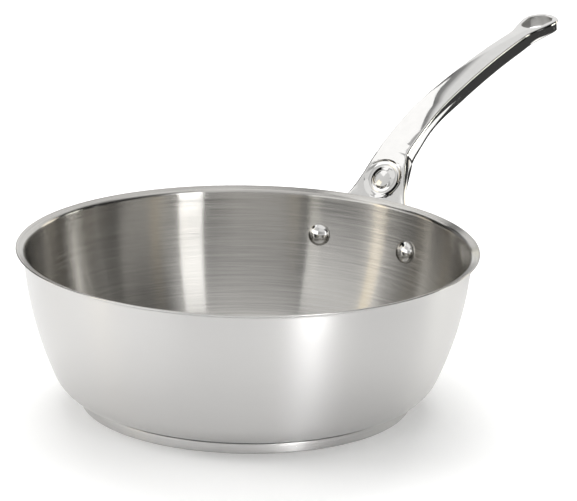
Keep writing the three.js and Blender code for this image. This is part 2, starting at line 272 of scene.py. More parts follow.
class HandleShape:
    """The handle's top line, and places on it: s along it, y across it, depth behind its face."""

    STEP = 0.00025  # along the top line, in metres
    # Steps along each part of the outline.
    LOBE, BELL, GRIP, LOOP = 40, 60, 200, 40
    # Steps round a ring: each rounded edge, the flat between two and half of a side.
    ROUND, FLAT, HALF_SIDE = 8, 40, 3
    MOST_ROUND = 0.37  # share of the thickness that a rounded edge takes at most
    LEAST_LEAN = 1e-5  # of a side that is as good as flat

    def __init__(self, bowl_shape, rivet, handle):
        bowl, base = bowl_shape.bowl, bowl_shape.base
        self.handle = handle
        self.seat_radius = bowl.wall + base.gap
        rivet_angle = math.asin((bowl.height - rivet.drop - bowl_shape.wall[1]) / self.seat_radius)
        self.foot_angle = rivet_angle - handle.margin / self.seat_radius
        self.leave = handle.margin + handle.seat
        leave_angle = self.foot_angle + self.leave / self.seat_radius
        foot, left = arc(bowl_shape.wall, self.seat_radius, self.foot_angle, leave_angle, 1)
        over_lip = np.array((bowl.rim / 2 + handle.clearance, bowl.height)) - left
        self.leave_slope = leave_angle + math.pi / 2
        self.root_turn = 2 * (self.leave_slope - math.atan2(over_lip[1], over_lip[0]))
        self.lip = self.leave + np.hypot(*over_lip)
        self.stem_end = self.lip + handle.stem
        self.elbow_end = self.stem_end + handle.elbow
        self.shoulder_end = self.elbow_end + handle.shoulder
        self.tip = self.lip + handle.reach
        self.loop = self.tip - handle.loop / 2
        self.neck = self.loop - handle.neck
        self.button = self.lip + handle.button_place
        self.bell_end = self.stem_end + handle.overrun
        count = int(self.tip / self.STEP) + 2
        slope = self.slope((np.arange(count) + 0.5) * self.STEP)
        steps = np.column_stack((np.cos(slope), np.sin(slope))) * self.STEP
        self.line = np.vstack((foot, foot + np.cumsum(steps, 0)))
        self.stations = np.arange(count + 1) * self.STEP
        self.rivet_radius = foot[0] + handle.margin * math.cos(self.foot_angle + math.pi / 2)
        self.rivet_side = self.rivet_radius * math.asin(rivet.spacing / 2 / self.rivet_radius)

    def slope(self, s):
        handle = self.handle
        above = (
            self.leave_slope
            - self.root_turn * ease(s, self.leave, self.lip)
            - handle.elbow_turn * ease(s, self.stem_end, self.elbow_end)
            - handle.shoulder_turn * ease(s, self.elbow_end, self.shoulder_end)
            - handle.grip_turn * ease(s, self.shoulder_end - handle.elbow, self.tip)
        )
        return np.where(s < self.leave, self.foot_angle + math.pi / 2 + s / self.seat_radius, above)

    def wrap(self, s):
        return np.maximum(1 - ease(s, self.leave, self.button), 1e-6)

    def place(self, s, y, depth):
        x = np.interp(s, self.stations, self.line[:, 0])
        z = np.interp(s, self.stations, self.line[:, 1])
        slope, wrap = self.slope(s), self.wrap(s)
        turn = wrap * y / x
        outward = depth * np.sin(slope)
        return np.stack((
            x - x / wrap * (1 - np.cos(turn)) + outward * np.cos(turn),
            x / wrap * np.sin(turn) + outward * np.sin(turn),
            z - depth * np.cos(slope),
        ), -1)

    def axes(self, s, y, depth):
        """Matrix of a place: along the handle, across it and out of its face."""
        turn = float(self.wrap(s) * y / np.interp(s, self.stations, self.line[:, 0]))
        slope = float(self.slope(s))
        across = Vector((-math.sin(turn), math.cos(turn), 0))
        out = Vector((-math.sin(slope) * math.cos(turn), -math.sin(slope) * math.sin(turn), math.cos(slope)))
        basis = Matrix((across.cross(out), across, out)).transposed().to_4x4()
        return Matrix.Translation(self.place(s, y, depth)) @ basis

    def half_width(self, s):
        handle = self.handle
        taper = np.minimum((s - self.bell_end) / (self.neck - self.bell_end), 1)
        grip = mix(handle.grip_width, handle.neck_width, taper) / 2
        return mix(grip, handle.loop / 2, ease(s, self.neck, self.loop))

    def outline(self):
        """Half of the outline: foot round the rivet, bell, grip and loop."""
        handle = self.handle
        lobe = arc((handle.margin, self.rivet_side), handle.margin, math.pi, handle.lobe_angle, self.LOBE)
        start, end = lobe[-1], np.array((self.bell_end, handle.grip_width / 2))
        lean, pull = handle.lobe_angle, handle.bell_angle
        leaving = start + handle.bell_foot * np.array((math.sin(lean), -math.cos(lean)))
        arriving = end + handle.bell_neck * np.array((-math.cos(pull), math.sin(pull)))
        t = np.linspace(0, 1, self.BELL + 1)[1:, None]
        bell = (
            (1 - t) ** 3 * start + 3 * (1 - t) ** 2 * t * leaving
            + 3 * (1 - t) * t * t * arriving + t ** 3 * end
        )
        s = np.linspace(self.bell_end, self.loop, self.GRIP + 1)[1:]
        grip = np.column_stack((s, self.half_width(s)))
        loop = arc((self.loop, 0), handle.loop / 2, math.pi / 2, 0, self.LOOP)[1:]
        return np.vstack((lobe, bell, grip, loop))

    def thickness(self, s):
        handle = self.handle
        waist = self.elbow_end + handle.waist
        t = mix(handle.flange, handle.elbow_thickness, ease(s, self.lip + handle.root, self.bell_end))
        t = mix(t, handle.waist_thickness, ease(s, self.bell_end, waist))
        t = mix(t, handle.grip_thickness, ease(s, waist, self.shoulder_end))
        return mix(t, handle.loop_thickness, ease(s, self.neck - handle.thinning, self.loop))

    def inset(self, s, y, half):
        """Distance in from the outline."""
        handle, side = self.handle, np.abs(y)
        if s < handle.margin:
            return handle.margin - np.hypot(handle.margin - s, np.maximum(0, side - self.rivet_side))
        if s > self.loop:
            return handle.loop / 2 - np.hypot(s - self.loop, side)
        return half - side

    def ring(self, s, half):
        """Points round the handle at one place of the outline."""
        handle = self.handle
        half = max(half, 0.0)
        thickness = float(self.thickness(s))
        edge = mix(handle.edge, handle.loop_edge, ease(s, self.neck, self.loop))
        radius = min(edge, self.MOST_ROUND * thickness)
        flat = max(half - radius, 0)
        swelling = ease(s, self.lip, self.stem_end) * (1 - ease(s, self.neck, self.loop))
        lean = max(handle.side_lean * swelling, self.LEAST_LEAN)
        rounding = np.linspace(lean, math.pi / 2, self.ROUND + 1)[:-1]
        near = np.maximum(half - radius * (1 - np.cos(rounding)), 0)
        y = np.concatenate((-near, np.linspace(-flat, flat, self.FLAT + 1), near[::-1]))
        short = np.clip(radius - self.inset(s, y, half), 0, radius)
        rounded = radius - np.sqrt(radius * radius - short * short)
        crowned = ease(s, self.stem_end, self.elbow_end) * (1 - ease(s, self.neck, self.loop))
        crown = handle.crown * crowned * (y / half) ** 2 if half > 1e-5 else 0 * y
        top, under = crown + rounded, thickness - rounded
        middle, reach = (top[0] + under[0]) / 2, (under[0] - top[0]) / 2
        turns = np.linspace(lean, -lean, 2 * self.HALF_SIDE + 2)[1:-1]
        side_y = near[0] + reach / math.sin(lean) * (np.cos(turns) - math.cos(lean))
        side = middle - reach * np.sin(turns) / math.sin(lean)
        # A ring starts in the middle of one side.
        upper, lower = slice(self.HALF_SIDE - 1, None, -1), slice(None, self.HALF_SIDE - 1, -1)
        across = np.concatenate((-side_y[upper], y, side_y, y[::-1], -side_y[lower]))
        depth = np.concatenate((side[upper], top, side, under[::-1], side[lower]))
        return self.place(np.full_like(across, s), across, depth)


# Meshes


# Steps round each turned shape.
BOWL_STEPS = 288
BUTTON_STEPS = 144
RIVET_STEPS = 96
DRILL_STEPS = 48


def mesh_object(name, points, faces):
    mesh = bpy.data.meshes.new(name)
    mesh.from_pydata([tuple(p) for p in points], [], faces)
    mesh.validate()
    made = bpy.data.objects.new(name, mesh)
    bpy.context.collection.objects.link(made)
    return made


def turned(name, section, steps):
    """A turned object. Its UV map holds the way round, 0 to 1, and the way along the section in metres."""
    around = np.linspace(0, 2 * math.pi, steps + 1)[:-1]
    points, rows = [], []
    for r, z in section:
        if r < 1e-7:
            rows.append([len(points)] * steps)
            points.append((0, 0, z))
        else:
            rows.append(list(range(len(points), len(points) + steps)))
            points.extend(zip(r * np.cos(around), r * np.sin(around), np.full(steps, z)))
    run = np.concatenate(((0,), np.cumsum(np.hypot(*np.diff(np.asarray(section), axis=0).T))))
    faces, places = [], []
    for i in range(len(rows) - 1):
        for j in range(steps):
            k = (j + 1) % steps
            low, high = rows[i], rows[i + 1]
            corners = [(low[j], j, i), (low[k], j + 1, i), (high[k], j + 1, i + 1), (high[j], j, i + 1)]
            kept = [c for n, c in enumerate(corners) if c[0] not in [d[0] for d in corners[:n]]]
            if len(kept) > 2:
                faces.append([c[0] for c in kept])
                places.extend((c[1] / steps, run[c[2]]) for c in kept)
    made = mesh_object(name, points, faces)
    layer = made.data.uv_layers.new(name="UVMap")
    layer.data.foreach_set("uv", np.asarray(places, dtype=np.float32).ravel())
    return made


def lofted(name, rings):
    """A closed object through rings of points, capped at its first ring."""
    count = len(rings[0])
    faces = []
    for i in range(len(rings) - 1):
        for k in range(count):
            a, d = i * count + k, i * count + (k + 1) % count
            faces.append((a, a + count, d + count, d))
    faces.extend((k, k + 1, count - 2 - k, count - 1 - k) for k in range(count // 2 - 1))
    return mesh_object(name, np.vstack(rings), faces)


def weld(made):
    """Joins points that coincide, and takes out faces with no area."""
    work = bmesh.new()
    work.from_mesh(made.data)
    bmesh.ops.remove_doubles(work, verts=work.verts, dist=1e-6)
    bmesh.ops.dissolve_degenerate(work, edges=work.edges, dist=1e-7)
    work.to_mesh(made.data)
    work.free()


def carve(made, tool, operation):
    """Joins or cuts one object with another, which is used up."""
    before = len(made.data.polygons)
    step = made.modifiers.new("carve", "BOOLEAN")
    step.operation = operation
    step.solver = "MANIFOLD"
    step.object = tool
    bpy.context.view_layer.update()
    result = bpy.data.meshes.new_from_object(made.evaluated_get(bpy.context.evaluated_depsgraph_get()))
    if len(result.polygons) < before / 2 or len(result.polygons) == before:
        raise RuntimeError(f"{made.name} was not carved by {tool.name}")
    made.modifiers.clear()
    made.data = result
    bpy.data.objects.remove(tool)


def finish_piece(made, nodes, materials, sharp=35):
    made.data.materials.clear()
    for material in materials:
        made.data.materials.append(material)
    made.data.shade_smooth()
    made.data.set_sharp_from_angle(angle=math.radians(sharp))
    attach(made, "root")
    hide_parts(*nodes)
    return made


# Materials


QUARTER_TURN = 0.25  # of a full turn, from round the axis to upright


def add(material, kind, inputs=None, **settings):
    """Adds a node with its settings, values and links."""
    node = material.node_tree.nodes.new(kind)
    for key, value in settings.items():
        setattr(node, key, value)
    for key, value in (inputs or {}).items():
        if isinstance(value, bpy.types.NodeSocket):
            material.node_tree.links.new(value, node.inputs[key])
        else:
            node.inputs[key].default_value = value
    return node


def new_material(name):
    material = bpy.data.materials.new(name)
    material.use_nodes = True
    material.node_tree.nodes.clear()
    return material


def lines_round(material, across, along):
    """Noise drawn out round the axis: lines `across` wide and `along` long, in metres."""
    place = add(material, "ShaderNodeTexCoord")
    run = add(material, "ShaderNodeSeparateXYZ", {0: place.outputs["UV"]})
    stretched = add(
        material, "ShaderNodeVectorMath", {0: place.outputs["Object"], 1: (1 / along, 1 / along, 0)},
        operation="MULTIPLY",
    )
    fine = add(material, "ShaderNodeMath", {0: run.outputs["Y"], 1: 1 / across}, operation="MULTIPLY")
    lifted = add(material, "ShaderNodeCombineXYZ", {"Z": fine.outputs[0]})
    where = add(
        material, "ShaderNodeVectorMath", {0: stretched.outputs[0], 1: lifted.outputs[0]}, operation="ADD"
    )
    return add(
        material, "ShaderNodeTexNoise",
        {"Vector": where.outputs[0], "Scale": 1, "Detail": 4, "Roughness": 0.65},
    )


def spots(material, size, detail):
    """Noise with spots about `size` across, in metres."""
    place = add(material, "ShaderNodeTexCoord")
    return add(
        material, "ShaderNodeTexNoise",
        {"Vector": place.outputs["Object"], "Scale": 1 / size, "Detail": detail},
    )


def spread(material, low, high, pattern):
    """A value that the pattern takes from low to high."""
    return add(
        material, "ShaderNodeMapRange",
        {"Value": pattern.outputs[0], "From Min": 0.3, "From Max": 0.7, "To Min": low, "To Max": high},
    ).outputs[0]


def shade(material, base, low, high, pattern):
    """A colour that the pattern takes between two shares of itself."""
    share = spread(material, low, high, pattern)
    scaled = add(material, "ShaderNodeVectorMath", {0: tuple(base), "Scale": share}, operation="SCALE")
    return scaled.outputs[0]


def relief(material, strength, depth, pattern):
    """The pattern as a fine relief, `depth` deep in metres."""
    return add(
        material, "ShaderNodeBump", {"Strength": strength, "Distance": depth, "Height": pattern.outputs[0]}
    ).outputs[0]


def steel(material, colour_socket, roughness, normal, drawn_out=0):
    """Bare metal. Lines round the axis draw its reflections out upright, by a share of 0 to 1."""
    inputs = {"Base Color": colour_socket, "Metallic": 1, "Roughness": roughness, "Normal": normal}
    if drawn_out:
        tangent = add(material, "ShaderNodeTangent", direction_type="RADIAL", axis="Z")
        inputs["Tangent"] = tangent.outputs[0]
        inputs["Anisotropic"] = drawn_out
        inputs["Anisotropic Rotation"] = QUARTER_TURN
    surface = add(material, "ShaderNodeBsdfPrincipled", inputs)
    add(material, "ShaderNodeOutputMaterial", {"Surface": surface.outputs[0]})
    return material


def brushed_steel(finish):
    """Stainless steel brushed round the bowl: fine lines that draw each light out into an upright band."""
    material = new_material("stainless_steel_circular_brushed")
    # The real lines are about 0.1 mm apart. They are drawn 0.7 mm wide so that they show at this size.
    lines = lines_round(material, 0.0007, 0.05)
    rough = finish.brushed_roughness
    return steel(
        material, shade(material, finish.brushed, 0.86, 1.14, lines),
        spread(material, rough - 0.03, rough + 0.03, lines), relief(material, 0.05, 0.00005, lines), 1,
    )


def satin_steel(finish):
    """Stainless steel polished to a satin on the lathe: soft upright reflections, with hardly any line."""
    material = new_material("stainless_steel_satin_polished")
    # The real lines are finer than 0.1 mm. They are drawn 0.9 mm wide, and so faint that none stands out.
    lines = lines_round(material, 0.0009, 0.08)
    rough = finish.satin_roughness
    return steel(
        material, shade(material, finish.satin, 0.995, 1.005, lines),
        spread(material, rough - 0.01, rough + 0.01, lines), relief(material, 0.006, 0.00004, lines), 0.85,
    )


def polished_steel(finish):
    """Cast stainless steel buffed to a mirror: sharp reflections that waver over the buffed faces."""
    material = new_material("stainless_steel_cast_mirror_polished")
    # Buffing leaves waves about 18 mm long and a haze in patches of about 6 mm.
    waver, haze = spots(material, 0.018, 1), spots(material, 0.006, 4)
    rough = finish.polished_roughness
    return steel(
        material, shade(material, finish.polished, 0.98, 1.02, haze),
        spread(material, rough - 0.02, rough + 0.03, haze), relief(material, 0.25, 0.00008, waver),
    )


def cast_steel_painted_shade(finish):
    """Cast stainless steel that the buffing wheel does not reach: dull, with the fine grain of the mould. Its
    darker colour is painted shade inside the hanging hole.
    """
    material = new_material("stainless_steel_cast_blasted_painted_shade")
    # The grain of a moulding sand, about 0.4 mm.
    grain = spots(material, 0.0004, 2)
    # The colour is darkened as painted shade inside the hanging hole.
    return steel(
        material, shade(material, finish.cast, 0.92, 1.04, grain), spread(material, 0.45, 0.55, grain),
        relief(material, 0.2, 0.00005, grain),
    )


def turned_steel(finish):
    """Stainless steel faced on the lathe: rings on the underside and a dull shine round the rim."""
    material = new_material("stainless_steel_turned")
    # The tool leaves a ring every 0.2 mm or so. They are drawn 0.6 mm wide so that they show at this size.
    lines = lines_round(material, 0.0006, 0.1)
    return steel(
        material, shade(material, finish.turned, 0.92, 1.04, lines), spread(material, 0.26, 0.36, lines),
        relief(material, 0.15, 0.00006, lines), 0.7,
    )


def rolled_aluminium(finish):
    """Rolled aluminium plate, sawn and left raw: grey, dull and slightly mottled."""
    material = new_material("aluminium_rolled_raw")
    # The mottle of the raw oxide, about 2 mm.
    mottle = spots(material, 0.002, 5)
    return steel(
        material, shade(material, finish.core, 0.85, 1.1, mottle), spread(material, 0.45, 0.6, mottle),
        relief(material, 0.3, 0.00005, mottle),
    )


# Operators


def shapes(scene):
    bowl = BowlShape(scene.pan_bowl, scene.pan_base)
    return bowl, HandleShape(bowl, scene.pan_rivet, scene.pan_handle)


def rivet_places(handle_shape):
    margin = handle_shape.handle.margin
    return [handle_shape.axes(margin, y, 0) for y in (handle_shape.rivet_side, -handle_shape.rivet_side)]


def drills(scene, handle_shape):
    """Tools that cut the two rivet holes."""
    radius, half = scene.pan_rivet.shank / 2 + scene.pan_base.gap, 2 * scene.pan_rivet.head
    made = []
    for place in rivet_places(handle_shape):
        tool = turned("drill", [(0, -half), (radius, -half), (radius, half), (0, half)], DRILL_STEPS)
        tool.data.transform(place)
        made.append(tool)
    return made


class PanBowl(bpy.types.Operator):
    """Makes the drawn bowl with its flared lip and rivet holes"""

    bl_idname = "pan.bowl"
    bl_label = "Bowl"

    def execute(self, context):
        scene = context.scene
        bowl, handle = shapes(scene)
        outside, inside = bowl.side(0), bowl.side(scene.pan_bowl.sheet)[::-1]
        section = np.vstack((outside, bowl.lip_round(), inside))
        made = turned("pan_bowl", section, BOWL_STEPS)
        for tool in drills(scene, handle):
            carve(made, tool, "DIFFERENCE")
        finish = scene.pan_finish
        finish_piece(made, ["pan_body"], [satin_steel(finish), brushed_steel(finish)])
        place = made.data.uv_layers[0].data
        run = np.concatenate(((0,), np.cumsum(np.hypot(*np.diff(section, axis=0).T))))
        edge = run[len(outside) + 3]
        for face in made.data.polygons:
            face.material_index = int(np.mean([place[i].uv[1] for i in face.loop_indices]) > edge)
        return {"FINISHED"}


class PanBaseCap(bpy.types.Operator):
    """Makes the steel cap under the base"""

    bl_idname = "pan.base_cap"
    bl_label = "Base cap"

    def execute(self, context):
        scene = context.scene
        bowl, base = scene.pan_bowl, scene.pan_base
        radius = bowl.floor / 2 + base.overhang
        over = base.height + bowl.corner - math.sqrt(bowl.corner ** 2 - base.overhang ** 2)
        top, edge = over - base.groove, base.sheet / 4
        section = np.vstack((
            [(r, 0) for r in np.linspace(0, radius - base.corner, 12)[:-1]],
            arc((radius - base.corner, base.corner), base.corner, -math.pi / 2, 0, 10),
            [(radius, z) for z in np.linspace(base.corner, top - edge, 8)[1:-1]],
            arc((radius - edge, top - edge), edge, 0, math.pi / 2, 4),
            arc((radius - base.sheet + edge, top - edge), edge, math.pi / 2, math.pi, 4),
            [(radius - base.sheet, base.sheet), (0, base.sheet)],
        ))
        made = turned("pan_base_cap", section, BOWL_STEPS)
        finish_piece(made, ["base_cap"], [turned_steel(scene.pan_finish)])
        return {"FINISHED"}


class PanHeatSpreader(bpy.types.Operator):
    """Makes the aluminium disc inside the base"""

    bl_idname = "pan.heat_spreader"
    bl_label = "Heat spreader"

    def execute(self, context):
        scene = context.scene
        bowl, base = scene.pan_bowl, scene.pan_base
        radius = bowl.floor / 2 + base.overhang - base.sheet - base.gap
        edge = base.gap
        section = np.vstack((
            [(0, base.sheet)],
            arc((radius - edge, base.sheet + edge), edge, -math.pi / 2, 0, 4),
            arc((radius - edge, base.height - edge), edge, 0, math.pi / 2, 4),
            [(0, base.height)],
        ))
        made = turned("pan_heat_spreader", section, BOWL_STEPS)
        finish_piece(made, ["heat_spreader"], [rolled_aluminium(scene.pan_finish)])
        return {"FINISHED"}


class PanHandle(bpy.types.Operator):
    """Makes the cast handle with its flange, button, grip and hanging eye"""

    bl_idname = "pan.handle"
    bl_label = "Handle"

    def execute(self, context):
        scene = context.scene
        shape = shapes(scene)[1]
        made = lofted("pan_handle", [shape.ring(s, half) for s, half in shape.outline()])
        weld(made)
        carve(made, self.ring(scene, shape), "DIFFERENCE")
        carve(made, self.button(scene, shape), "UNION")
        for tool in (self.eye(scene, shape), *drills(scene, shape)):
            carve(made, tool, "DIFFERENCE")
        finish = scene.pan_finish
        finish_piece(made, ["handle"], [polished_steel(finish), cast_steel_painted_shade(finish)], 40)
        self.dull_and_shade_eye(made, shape)
        return {"FINISHED"}

    def dull_and_shade_eye(self, made, shape):
        """Gives the wall of the hanging hole its own finish: dull, with a darker colour that is painted
        shade.
        """
        handle = shape.handle
        wide, narrow = handle.eye_wide / 2, handle.eye_narrow / 2
        apart = handle.eye - wide - narrow
        to_loop = shape.axes(shape.loop, 0, 0).inverted()
        for face in made.data.polygons:
            x, y, _ = to_loop @ face.center
            along = min(max((x + handle.eye_back) / apart + 1, 0), 1)
            off = math.hypot(x + handle.eye_back + apart * (1 - along), y)
            face.material_index = int(off < mix(narrow, wide, along) + handle.eye_edge / 2)

    def button(self, scene, shape):
        """The low dome in the middle of the ring."""
        handle = scene.pan_handle
        radius, foot = handle.button / 2 - handle.ring_edge / 2, -handle.flange / 2
        turns = np.linspace(1.4, 0, 15)
        dome = [(radius * math.sin(a), handle.button_dome * math.cos(a) ** 2) for a in turns]
        tool = turned("button", [(0, foot), (radius, foot), (radius, dome[0][1] / 2), *dome], BUTTON_STEPS)
        tool.data.transform(shape.axes(shape.button, 0, 0))
        return tool

    def ring(self, scene, shape):
        """Tool for the sunk ring: an arc in section, with rounded edges that leave the face low."""
        handle = scene.pan_handle
        inner, outer, depth, edge = handle.button / 2, handle.ring / 2, handle.ring_depth, handle.ring_edge
        half, low = (outer - inner) / 2, math.radians(25)
        radius = (half * half + depth * depth) / (2 * depth)
        rise = radius - depth + edge * math.cos(low)
        out = math.sqrt((radius + edge) ** 2 - rise * rise)
        lean = math.atan2(out, rise)
        groove = [
            (radius * math.sin(a), radius - depth - radius * math.cos(a)) for a in np.linspace(0, lean, 20)
        ]
        shoulder = [
            (out - edge * math.sin(a), edge * (math.cos(a) - math.cos(low)))
            for a in np.linspace(lean, low, 7)[1:]
        ]
        over = [(shoulder[-1][0] + depth / 2 / math.tan(low), depth / 2)]
        side = np.array(groove + shoulder + over)
        section = np.vstack((side[:0:-1] * (-1, 1), side)) + ((inner + outer) / 2, 0)
        tool = turned("ring", np.vstack((section, section[:1])), BUTTON_STEPS)
        weld(tool)
        tool.data.transform(shape.axes(shape.button, 0, 0))
        return tool

    def eye(self, scene, shape):
        """Tool for the hanging hole: two rounds and their tangents, opening out at both faces."""
        handle = scene.pan_handle
        wide, narrow = handle.eye_wide / 2, handle.eye_narrow / 2
        apart = handle.eye - wide - narrow
        tangent = math.acos((wide - narrow) / apart)
        edge, thick = handle.eye_edge, handle.loop_thickness
        a = np.linspace(math.radians(12), math.pi / 2, 9)
        flare = [(edge * (1 - math.cos(t)), edge * (1 - math.sin(t))) for t in a]
        levels = [(-2 * edge, flare[0][1])] + flare
        levels += [(thick - depth, out) for depth, out in reversed(flare)] + [(thick + 2 * edge, flare[0][1])]
        turns = np.linspace(-math.pi, math.pi, 161)[:-1]
        front = np.abs(turns) < tangent
        rings = []
        for depth, out in reversed(levels):
            radius = np.where(front, wide, narrow) + out
            x = np.where(front, 0, -apart) + radius * np.cos(turns) - handle.eye_back
            rings.append(np.column_stack((x, radius * np.sin(turns), np.full(len(turns), -depth))))
        count = len(turns)
        last = (len(rings) - 1) * count
        faces = []
        for i in range(0, last, count):
            for k in range(count):
                after = (k + 1) % count
                faces.append((i + k, i + after, i + count + after, i + count + k))
        faces.append(tuple(range(count))[::-1])
        faces.append(tuple(range(last, last + count)))
        tool = mesh_object("eye", np.vstack(rings), faces)
        tool.data.transform(shape.axes(shape.loop, 0, 0))
        return tool


class PanRivets(bpy.types.Operator):
    """Makes the two rivets that hold the handle"""

    bl_idname = "pan.rivets"
    bl_label = "Rivets"

    def execute(self, context):
        scene = context.scene
        rivet, gap = scene.pan_rivet, scene.pan_base.gap
        shape = shapes(scene)[1]
        head, tail = rivet.head / 2, rivet.tail / 2
        head_seat = 2 * gap + scene.pan_bowl.sheet + head * head / (2 * shape.rivet_radius)
        tail_seat = -scene.pan_handle.flange - gap
        section = np.vstack((
            arc((0, 0), 1, -math.pi / 2, 0, 20) * (tail, rivet.tail_dome) + (0, tail_seat),
            [(rivet.shank / 2, tail_seat), (rivet.shank / 2, head_seat)],
            arc((0, 0), 1, 0, math.pi / 2, 28) * (head, rivet.dome) + (0, head_seat),
        ))
        material = polished_steel(scene.pan_finish)
        for name, place in zip(("rivet_left", "rivet_right"), rivet_places(shape)):
            made = turned("pan_" + name, section, RIVET_STEPS)
            made.data.transform(place)
            finish_piece(made, [name], [material], 50)
        return {"FINISHED"}


class PanStage(bpy.types.Operator):
    """Sets the floor, the light and the camera"""

    bl_idname = "pan.stage"
    bl_label = "Stage"

    def execute(self, context):
        scene = context.scene
        studio = scene.pan_studio
        scene.view_settings.view_transform = "Standard"
        self.camera(scene, studio)
        self.surround(scene, studio)
        self.floor(studio)
        for lamp in LAMPS:
            self.lamp(studio, *lamp)
        self.panels(studio)
        return {"FINISHED"}

    def spot(self, studio, right, away, up):
        """A place in the studio, seen from the camera, in the frame of the pan."""
        c, s = math.cos(studio.heading), math.sin(studio.heading)
        return Vector((right * s + away * c, -right * c + away * s, up))

    def camera(self, scene, studio):
        data = bpy.data.cameras.new("camera")
        data.sensor_width = 36
        data.lens = studio.focal
        data.clip_end = 20
        camera = bpy.data.objects.new("camera", data)
        bpy.context.collection.objects.link(camera)
        yaw, pitch, roll = studio.yaw, studio.pitch, studio.roll
        level_ahead = math.cos(pitch)
        ahead = self.spot(
            studio, math.sin(yaw) * level_ahead, math.cos(yaw) * level_ahead, -math.sin(pitch)
        )
        level_right = self.spot(studio, math.cos(yaw), -math.sin(yaw), 0)
        level_up = level_right.cross(ahead)
        right = math.cos(roll) * level_right + math.sin(roll) * level_up
        basis = Matrix((right, right.cross(ahead), -ahead)).transposed().to_4x4()
        e, d = studio.elevation, studio.distance
        where = self.spot(studio, 0, -d * math.cos(e), studio.middle + d * math.sin(e))
        camera.matrix_world = Matrix.Translation(where) @ basis
        scene.camera = camera

    def surround(self, scene, studio):
        world = bpy.data.worlds.new("studio")
        scene.world = world
        world.use_nodes = True
        world.node_tree.nodes.clear()
        seen = self.seen(world)
        strength = add(world, "ShaderNodeMapRange", {"Value": seen, "To Min": studio.surround, "To Max": 1})
        back = add(world, "ShaderNodeBackground", {"Color": (1, 1, 1, 1), "Strength": strength.outputs[0]})
        add(world, "ShaderNodeOutputWorld", {"Surface": back.outputs[0]})

    def seen(self, holder):
        """1 for what the camera, a reflection or glass shows, 0 for light on a surface."""
        path = add(holder, "ShaderNodeLightPath")
        one = add(
            holder, "ShaderNodeMath",
            {0: path.outputs["Is Camera Ray"], 1: path.outputs["Is Glossy Ray"]}, operation="MAXIMUM",
        )
        both = add(
            holder, "ShaderNodeMath",
            {0: one.outputs[0], 1: path.outputs["Is Transmission Ray"]}, operation="MAXIMUM",
        )
        return both.outputs[0]

    def floor(self, studio):
        material = new_material("painted_floor")
        paint = add(
            material, "ShaderNodeBsdfPrincipled",
            {"Base Color": (*studio.floor, 1), "Roughness": 1, "Specular IOR Level": 0},
        )
        lift = add(
            material, "ShaderNodeMath", {0: self.seen(material), 1: studio.floor_lift}, operation="MULTIPLY"
        )
        glow = add(material, "ShaderNodeEmission", {"Color": (1, 1, 1, 1), "Strength": lift.outputs[0]})
        both = add(material, "ShaderNodeAddShader", {0: paint.outputs[0], 1: glow.outputs[0]})
        add(material, "ShaderNodeOutputMaterial", {"Surface": both.outputs[0]})
        reach = studio.floor_reach
        sides = ((-reach, -reach), (reach, -reach), (reach, reach), (-reach, reach))
        corners = [self.spot(studio, x, y, 0) for x, y in sides]
        made = mesh_object("floor", corners, [(0, 1, 2, 3)])
        made.data.materials.append(material)

    def lamp(self, studio, name, place, size, brightness):
        data = bpy.data.lights.new(name, "AREA")
        data.shape = "RECTANGLE"
        data.size, data.size_y = size
        data.energy = brightness * math.pi * size[0] * size[1]
        lamp = bpy.data.objects.new(name, data)
        bpy.context.collection.objects.link(lamp)
        where = self.spot(studio, *place)
        lamp.matrix_world = Matrix.Translation(where) @ (-where).to_track_quat("-Z", "Y").to_matrix().to_4x4()
        lamp.visible_camera = False
        lamp.visible_glossy = False

    def panels(self, studio):
        """Lit and dark panels on a dome round the pan, which only the metal shows."""
        points, faces, glow = [], [], []
        across, up = PANEL_STEPS
        for low, high, near, levels, tint in PANELS:
            radius = near * studio.panel_distance
            for i, k in np.ndindex(up + 1, across + 1):
                v, u = i / up, k / across
                turn = math.radians(mix(mix(low[0], low[1], u), mix(high[0], high[1], u), v))
                tilt = math.radians(mix(low[2], high[2], v))
                out = radius * math.cos(tilt)
                if i < up and k < across:
                    a = len(points)
                    faces.append((a, a + 1, a + across + 2, a + across + 1))
                place = (out * math.sin(turn), -out * math.cos(turn), radius * math.sin(tilt))
                points.append(self.spot(studio, *place))
                brightness = mix(mix(levels[0], levels[1], u), mix(levels[2], levels[3], u), v)
                glow.extend((*(brightness * c for c in linear(tint)), 1))
        for card in CARDS:
            a = len(points)
            faces.append(tuple(range(a, a + len(card))))
            points.extend(self.spot(studio, *corner) for corner in card)
            glow.extend((CARD_LEVEL, CARD_LEVEL, CARD_LEVEL, 1) * len(card))
        made = mesh_object("panels", points, faces)
        made.data.attributes.new("glow", "FLOAT_COLOR", "POINT").data.foreach_set("color", glow)
        material = new_material("studio_panel")
        stored = add(material, "ShaderNodeAttribute", attribute_name="glow")
        light = add(material, "ShaderNodeEmission", {"Color": stored.outputs["Color"]})
        add(material, "ShaderNodeOutputMaterial", {"Surface": light.outputs[0]})
        made.data.materials.append(material)
        made.visible_camera = False
        made.visible_diffuse = False
        made.visible_transmission = False
        made.visible_shadow = False


class PanPanel(bpy.types.Panel):
    """Lists the pieces of the pan and their sizes"""

    bl_idname = "VIEW3D_PT_pan"
    bl_label = "Saute Pan"
    bl_space_type = "VIEW_3D"
    bl_region_type = "UI"
    bl_category = "Pan"

    def draw(self, context):
        for operator in OPERATORS:
            self.layout.operator(operator.bl_idname)
        for group in GROUPS:
            box = self.layout.box()
            box.label(text=group.replace("_", " ").capitalize())
            for name in GROUPS[group].__annotations__:
                box.prop(getattr(context.scene, group), name)


# Lamps over the floor, which the metal does not show: name, place (right, away, up), size and brightness.
LAMPS = (
    ("lamp_top", (0, 0, 1.5), (1.6, 1.2), 1.2),
    ("lamp_back", (0, 0.9, 1.2), (1.4, 0.7), 5.0),
    ("lamp_left", (-1.2, 0, 0.7), (0.8, 0.8), 4.0),
    ("lamp_right", (1.2, 0, 0.7), (0.8, 0.8), 1.8),
)
